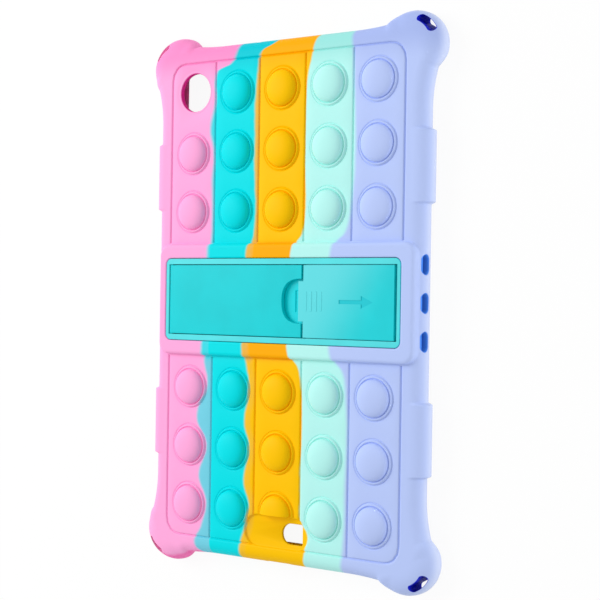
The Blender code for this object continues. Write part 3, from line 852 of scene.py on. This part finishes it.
class Signal:
    # a shader socket whose sums, differences and products become Math nodes
    def __init__(self, tree, socket=None):
        self.tree = tree
        self.socket = socket

    def node(self, kind, settings=None, sockets=None, output=0):
        made = self.tree.nodes.new("ShaderNode" + kind)
        for name, value in (settings or {}).items():
            if name == "points":
                curve = made.mapping.curves[0]
                curve.points[0].location = value[0]
                curve.points[1].location = value[-1]
                for place in value[1:-1]:
                    curve.points.new(*place)
                made.mapping.update()
            else:
                setattr(made, name, value)
        for name, value in (sockets or {}).items():
            if isinstance(value, Signal):
                self.tree.links.new(value.socket, made.inputs[name])
            else:
                made.inputs[name].default_value = value
        return Signal(self.tree, made.outputs[output])

    def outputs(self, *names):
        # other outputs of the same node
        return [Signal(self.tree, self.socket.node.outputs[name]) for name in names]

    def feed(self, shader, name):
        self.tree.links.new(self.socket, shader.inputs[name])

    def maths(self, operation, other, swapped=False):
        first, second = (other, self) if swapped else (self, other)
        return self.node("Math", {"operation": operation}, {0: first, 1: second})

    def __add__(self, other):
        return self.maths("ADD", other)

    __radd__ = __add__

    def __sub__(self, other):
        return self.maths("SUBTRACT", other)

    def __rsub__(self, other):
        return self.maths("SUBTRACT", other, True)

    def __mul__(self, other):
        return self.maths("MULTIPLY", other)

    __rmul__ = __mul__

    def __truediv__(self, other):
        return self.maths("DIVIDE", other)

    def __abs__(self):
        return self.maths("ABSOLUTE", 0.0)

    def ease(self, low, high):
        return self.node("MapRange", {"interpolation_type": "SMOOTHSTEP"},
                         {"Value": self, "From Min": low, "From Max": high})

    def blend(self, first, second):
        # self is the share of the second colour
        return self.node("Mix", {"data_type": "RGBA"},
                         {0: self, 6: first, 7: second}, 2)


def srgb(red, green, blue):
    linear = []
    for value in (red, green, blue):
        value /= 255
        linear.append(value / 12.92 if value < 0.04045 else ((value + 0.055) / 1.055) ** 2.4)
    return (*linear, 1.0)


silicone = SimpleNamespace(
    # the deeper pink is painted shade, for the pink walls low down and inside the case
    pink=srgb(255, 170, 220), paintedShadePink=srgb(255, 124, 192),
    turquoise=srgb(0, 224, 231), bluish=srgb(126, 206, 228),
    orange=srgb(255, 197, 0), deepOrange=srgb(255, 168, 0), tan=srgb(232, 184, 90),
    mint=srgb(184, 246, 240), lavender=srgb(186, 203, 250),
    # the pale lavender is painted light, for the lavender side wall that stands in the light
    paintedLight=srgb(218, 228, 254), topPink=srgb(250, 144, 202), topTurquoise=srgb(0, 200, 214),
    topMint=srgb(156, 230, 224), topLavender=srgb(170, 187, 240),
    # the slot and hole colours are painted shade, the deep saturated colours of the strap
    # slots', button holes' and camera hole's walls; the slot pink is a pale pink
    slotPink=srgb(255, 176, 218), holeShadePink=srgb(255, 50, 165),
    slotShadeBlue=srgb(24, 36, 205), holeShadeBlue=srgb(80, 150, 255),
    roughness=(0.42, 0.56), grain=(0.35, 0.00002), specular=0.06,
    # along the case: where the top's deeper colours come in, and the lower half's edges
    topFrom=(108.0, 123.0), lowerFrom=(-28.0, -31.0),
    # how far a broad and a small noise move the colours' edges
    wander=(1.5, 0.6),
    # the scale of the broad, the small and the finest noise
    noises=(0.07, 0.35, 2.6),
    # where each colour ends: across at along the case, from the camera end down
    pinkEnds=((131, -27), (122, -28.3), (117, -30.5), (114.5, -34.5), (112.8, -40.4),
              (97, -41.8), (84, -44.4), (72, -42), (56, -42.8), (44, -42.4), (29.5, -42.8),
              (0, -44), (-29, -46.2), (-42, -43.9), (-58, -50), (-72, -43.8), (-87, -48.4),
              (-100, -43.6), (-112, -46.5), (-121, -50.5), (-131, -41)),
    turquoiseEnds=((131, -4), (124, -5.7), (120, -12.7), (109, -14.9), (70, -16), (31, -15.8),
                   (27, -17.4), (0, -18.4), (-28, -19.6), (-43, -17.3), (-58, -20.1),
                   (-72, -16.9), (-87, -19.8), (-100, -16.4), (-106, -18), (-112, -19.6),
                   (-118, -21.5), (-124, -22.4), (-131, -22.4)),
    orangeEnds=((131, 20), (125, 19.8), (117, 17.8), (106, 15.1), (71, 14), (32, 13),
                (27, 9.5), (0, 8.6), (-26, 7.8), (-31, 11.6), (-37, 13.3), (-93, 13.9),
                (-104, 14.4), (-110, 18.2), (-113, 18.2), (-118, 17), (-124, 15.8),
                (-131, 15)),
    mintEnds=((131, 39), (111, 41), (45, 41), (32, 37.5), (27, 32.5), (0, 32.4),
              (-26, 32.3), (-33, 37.6), (-41, 39.2), (-91, 39.7), (-112, 39.2),
              (-119, 38.2), (-131, 36.4)),
)


# the silicone's tables lie in a box of this size, whose middle is the case's
tableLong, tableWide = 270.0, 180.0


def edgeAcross(share, table):
    # a colour's edge as a smooth curve over the length of the case
    points = sorted((y / tableLong + 0.5, x / tableWide + 0.5) for y, x in table)
    points = [(0.0, points[0][1])] + points + [(1.0, points[-1][1])]
    curve = share.node("FloatCurve", {"points": points}, {1: share})
    return curve * tableWide - tableWide / 2


def newMaterial(name):
    material = bpy.data.materials.new(name)
    material.use_nodes = True
    tree = material.node_tree
    return material, tree.nodes["Principled BSDF"], Signal(tree)


def placeInMm(start):
    # the place on the piece as one vector, then across, along and up
    place = start.node("TexCoord", output=3)
    inMm = start.node("Mapping", {}, {"Vector": place, "Scale": (1000, 1000, 1000)})
    return inMm, *start.node("SeparateXYZ", {}, {0: inMm}).outputs(0, 1, 2)


def noise(inMm, scale, detail=2.0, roughness=0.5):
    return inMm.node("TexNoise", {}, {
        "Vector": inMm, "Scale": scale, "Detail": detail, "Roughness": roughness})


def addGrain(shader, grain, looks):
    # one noise gives the roughness and a fine bump
    low, high = looks.roughness
    strength, height = looks.grain
    (low + grain * (high - low)).feed(shader, "Roughness")
    grain.node("Bump", {}, {
        "Strength": strength, "Distance": height, "Height": grain}).feed(shader, "Normal")
    shader.inputs["Specular IOR Level"].default_value = looks.specular


def lengthOf(first, second):
    return (first * first + second * second).maths("POWER", 0.5)


def inSlots(across, along):
    # the walls of the strap slots, where little light gets in: on the blue side they get a
    # painted shade blue, on the pink side a pale pink
    middleX, middleY = shell.bumperMiddle
    reachX, reachY = shell.slotMiddle
    right = (abs(across) - middleX) / reachX
    up = (abs(along) - middleY) / reachY
    half = shell.slotHalfWidth
    reach = (reachX + reachY) / 2
    start, end = (radians(angle) for angle in shell.slotAngles)
    middle, spread = (start + end) / 2, (end - start) / 2 - half / reach
    beside = (lengthOf(right, up) - 1.0) * reach
    beyond = (abs(up.maths("ARCTAN2", right) - middle) - spread).maths("MAXIMUM", 0.0)
    return lengthOf(beside, beyond * reach).ease(half + 0.22, half + 0.04)


# the walls of the button holes, which get painted shade
def inButtonHoles(across, along, height):
    halfLong, halfTall = shell.buttonHole
    nearest = None
    for place in shell.buttonPlaces:
        beyond = (abs(along - place) - (halfLong - halfTall)).maths("MAXIMUM", 0.0)
        away = lengthOf(beyond, height - shell.buttonHeight)
        nearest = nearest.maths("MINIMUM", away) if nearest else away
    return nearest.ease(halfTall + 0.5, halfTall + 0.15) * across.ease(70.0, 71.0)


# the walls of the camera hole, which get painted shade
def inCameraHole(across, along, height):
    middleX, middleY = shell.cameraMiddle
    away = lengthOf(across - middleX, along - middleY)
    radius = shell.cameraRadius
    return away.ease(radius + 0.3, radius + 0.08) * height.ease(9.0, 10.0)


def siliconeMaterial():
    material, shader, start = newMaterial("colourBandSilicone")
    inMm, across, along, height = placeInMm(start)
    broadScale, smallScale, grainScale = silicone.noises
    small = noise(inMm, smallScale)
    broadMove, smallMove = silicone.wander
    wander = (noise(inMm, broadScale) - 0.5) * broadMove + (small - 0.5) * smallMove
    share = (along + tableLong / 2) / tableLong
    pinkEdge, turquoiseEdge, orangeEdge, mintEdge = (
        across + wander * part - edgeAcross(share, ends) for ends, part in (
            (silicone.pinkEnds, 1.0), (silicone.turquoiseEnds, 1.0),
            (silicone.orangeEnds, 0.7), (silicone.mintEnds, 0.6)))

    top = along.ease(*silicone.topFrom)
    lower = along.ease(*silicone.lowerFrom)
    raised = (28.5 - abs(along)).ease(0.0, 1.0)
    # painted shade: the pink turns deeper on the walls under the back and inside the case
    pink = height.ease(11.2, 9.6).blend(silicone.pink, silicone.paintedShadePink)
    pink = top.blend(pink, silicone.topPink)
    turquoise = top.blend(silicone.turquoise, silicone.topTurquoise)
    orange = (raised.maths("MAXIMUM", top) * 0.8).blend(silicone.orange, silicone.deepOrange)
    mint = top.blend(silicone.mint, silicone.topMint)
    # painted light: the lavender walls grow paler downwards from the back
    lavender = (height.ease(10.5, 5.0) * 0.75).blend(
        top.blend(silicone.lavender, silicone.topLavender), silicone.paintedLight)
    # mixed colours run along two of the edges
    fringe = pinkEdge.ease(-0.6, 1.2) * across.ease(-41.0, -41.5) * (0.25 + lower * 0.6)
    tanShare = turquoiseEdge.ease(-1.5, 0.8) * turquoiseEdge.ease(5.0, 2.0)
    tanShare = tanShare * across.ease(-13.5, -14.2) * (0.3 + small * 0.9)
    tanShare = tanShare * (1.0 - lower * 0.65)

    colour = pinkEdge.ease(-1.5, 1.7).blend(pink, turquoise)
    colour = fringe.blend(colour, silicone.bluish)
    colour = turquoiseEdge.ease(-0.9, 0.9).blend(colour, orange)
    colour = tanShare.blend(colour, silicone.tan)
    colour = orangeEdge.ease(-0.7, 0.7).blend(colour, mint)
    colour = mintEdge.ease(-1.5, 1.5).blend(colour, lavender)
    # painted shade: the strap slots' walls turn deep blue on the blue side, pale pink on the
    # pink side
    colour = inSlots(across, along).blend(colour, across.ease(-1.0, 1.0).blend(
        silicone.slotPink, silicone.slotShadeBlue))
    # painted shade: a deep saturated blue on the button holes' walls
    colour = inButtonHoles(across, along, height).blend(colour, silicone.holeShadeBlue)
    # painted shade: a deep magenta on the camera hole's walls
    colour = inCameraHole(across, along, height).blend(colour, silicone.holeShadePink)
    colour.feed(shader, "Base Color")
    addGrain(shader, noise(inMm, grainScale, 3.0, 0.6), silicone)
    return material


plastic = SimpleNamespace(
    # the deeper floor colour is painted shade, for the tray's floor seen down in the leg's notch
    leg=srgb(0, 208, 215), tray=srgb(86, 226, 231), floor=srgb(0, 216, 224),
    # the pale turquoise is a painted highlight, a broad sheen on the slider
    slider=srgb(22, 213, 221), paintedLight=srgb(94, 220, 227), arrow=srgb(22, 201, 212),
    darker=0.93, roughness=(0.3, 0.42), grain=(0.5, 0.00001), specular=0.12,
)


def inArrow(across, along):
    tail, neck, tip, shaft, head = stand.arrow[:5]
    aside = abs(along)
    onShaft = aside.ease(shaft + 0.15, shaft - 0.05) * across.ease(tail - 0.1, tail + 0.1)
    slope = (across - neck) * (head / (tip - neck)) + aside
    onHead = slope.ease(head + 0.1, head - 0.15) * across.ease(neck - 0.1, neck + 0.1)
    return (onShaft * across.ease(neck + 0.3, neck)).maths("MAXIMUM", onHead)


def plasticMaterial(name, colour):
    material, shader, start = newMaterial(name)
    inMm, across, along, height = placeInMm(start)
    darker = tuple(part * plastic.darker for part in colour[:3]) + (1.0,)
    tint = noise(inMm, 0.05).ease(0.3, 0.7).blend(colour, darker)
    if name.startswith("standTray"):
        # painted shade: the tray turns deeper below its rim, on its floor
        tint = height.ease(14.0, 13.4).blend(tint, plastic.floor)
    if name.startswith("latchSlider"):
        # painted highlight: the slider is paler towards the leg and its +Y side, fading along a
        # slant
        tint = (across - along * 0.6).ease(20.0, 62.0).blend(plastic.paintedLight, tint)
        tint = inArrow(across, along).blend(tint, plastic.arrow)
    tint.feed(shader, "Base Color")
    addGrain(shader, noise(inMm, 5.0, 3.0, 0.6), plastic)
    return material


bandSilicone = siliconeMaterial()
for piece, body, node, slot, look in (
        (siliconeShell, "case", "case_shell", "silicone", bandSilicone),
        (siliconeBezel, "case", "case_shell", "silicone", bandSilicone),
        (standTray, "case", "stand_frame", "frame_plastic",
         plasticMaterial("standTrayPlastic", plastic.tray)),
        (standLeg, "leg", "stand_leg", "leg_plastic",
         plasticMaterial("standLegPlastic", plastic.leg)),
        (latchSlider, "slider", "latch_slider", "slider_plastic",
         plasticMaterial("latchSliderPlastic", plastic.slider))):
    piece.data.materials.clear()
    piece.data.materials.append(look)
    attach(piece, body)
    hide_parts(node)
print("materials made")


# camera, light and floor

view = SimpleNamespace(
    right=(0.79245, 0.0154, -0.60975), up=(-0.01412, 0.99988, 0.00689),
    back=(0.60978, 0.00315, 0.79257), aim=(-0.5, 0.0, 13.0), distance=705.27,
    lens=88.8, sensor=36.0, shift=(0.0363, 0.0015), clip=(0.01, 20.0),
)
studio = SimpleNamespace(
    # each lamp: name, direction, distance in metres, size across and high, power
    lamps=(("leftSoftbox", (-0.68, 0.3, 0.68), 1.2, (0.7, 0.7), 9.0),
           ("rightWallStrip", (1.0, 0.05, 0.017), 0.4, (0.5, 0.01), 0.42)),
    # the floor lies a little under the case, so the two faces don't fight
    floorSize=4000, floorHeight=-0.1, floorGrey=0.95, floorRoughness=0.9,
    floorGlow=0.93, skyLight=0.63,
)


def addCamera():
    camera = bpy.data.cameras.new("photoCamera")
    camera.lens = view.lens
    camera.sensor_width = view.sensor
    camera.shift_x, camera.shift_y = view.shift
    camera.clip_start, camera.clip_end = view.clip
    holder = newObject("photoCamera", camera)
    turn = Matrix((view.right, view.up, view.back)).transposed()
    place = (Vector(view.aim) + Vector(view.back) * view.distance) * mm
    holder.matrix_world = Matrix.Translation(place) @ turn.to_4x4()
    bpy.context.scene.camera = holder


def addLamp(name, direction, distance, size, power):
    lamp = bpy.data.lights.new(name, "AREA")
    lamp.shape = "RECTANGLE"
    lamp.size, lamp.size_y = size
    lamp.energy = power
    holder = newObject(name, lamp)
    away = Vector(direction).normalized()
    holder.location = away * distance
    holder.rotation_euler = away.to_track_quat("Z", "Y").to_euler()


def seenShare(start):
    # 1 for what the camera sees straight, mirrored or through glass
    seen, mirrored, through = start.node("LightPath").outputs(
        "Is Camera Ray", "Is Glossy Ray", "Is Transmission Ray")
    return (seen + mirrored + through).maths("MINIMUM", 1.0)


def addFloor():
    bm = bmesh.new()
    placed = Matrix.Translation((0, 0, studio.floorHeight))
    bmesh.ops.create_grid(bm, x_segments=1, y_segments=1, size=studio.floorSize, matrix=placed)
    floor = finishMesh("paleFloor", bm)
    material, shader, start = newMaterial("paleFloor")
    shader.inputs["Base Color"].default_value = (*[studio.floorGrey] * 3, 1)
    shader.inputs["Roughness"].default_value = studio.floorRoughness
    glow = start.node("Emission", {}, {"Color": (1, 1, 1, 1), "Strength": 1.0})
    mixed = start.node("MixShader", {}, {
        0: seenShare(start) * studio.floorGlow,
        1: Signal(start.tree, shader.outputs[0]), 2: glow})
    # clear from below, so the inside of the case can be looked at
    below, = start.node("NewGeometry").outputs("Backfacing")
    clear = start.node("BsdfTransparent")
    mixed = start.node("MixShader", {}, {0: below, 1: mixed, 2: clear})
    mixed.feed(start.tree.nodes["Material Output"], "Surface")
    floor.data.materials.append(material)


def addWorld():
    world = bpy.data.worlds.new("studio")
    bpy.context.scene.world = world
    world.use_nodes = True
    sky = world.node_tree.nodes["Background"]
    sky.inputs["Color"].default_value = (1, 1, 1, 1)
    # white behind the case, plain light on it
    plain = studio.skyLight
    level = plain + seenShare(Signal(world.node_tree)) * (1 - plain)
    level.feed(sky, "Strength")


addCamera()
for lamp in studio.lamps:
    addLamp(*lamp)
addFloor()
addWorld()
bpy.context.scene.view_settings.view_transform = "Standard"
print("camera, light and floor made")
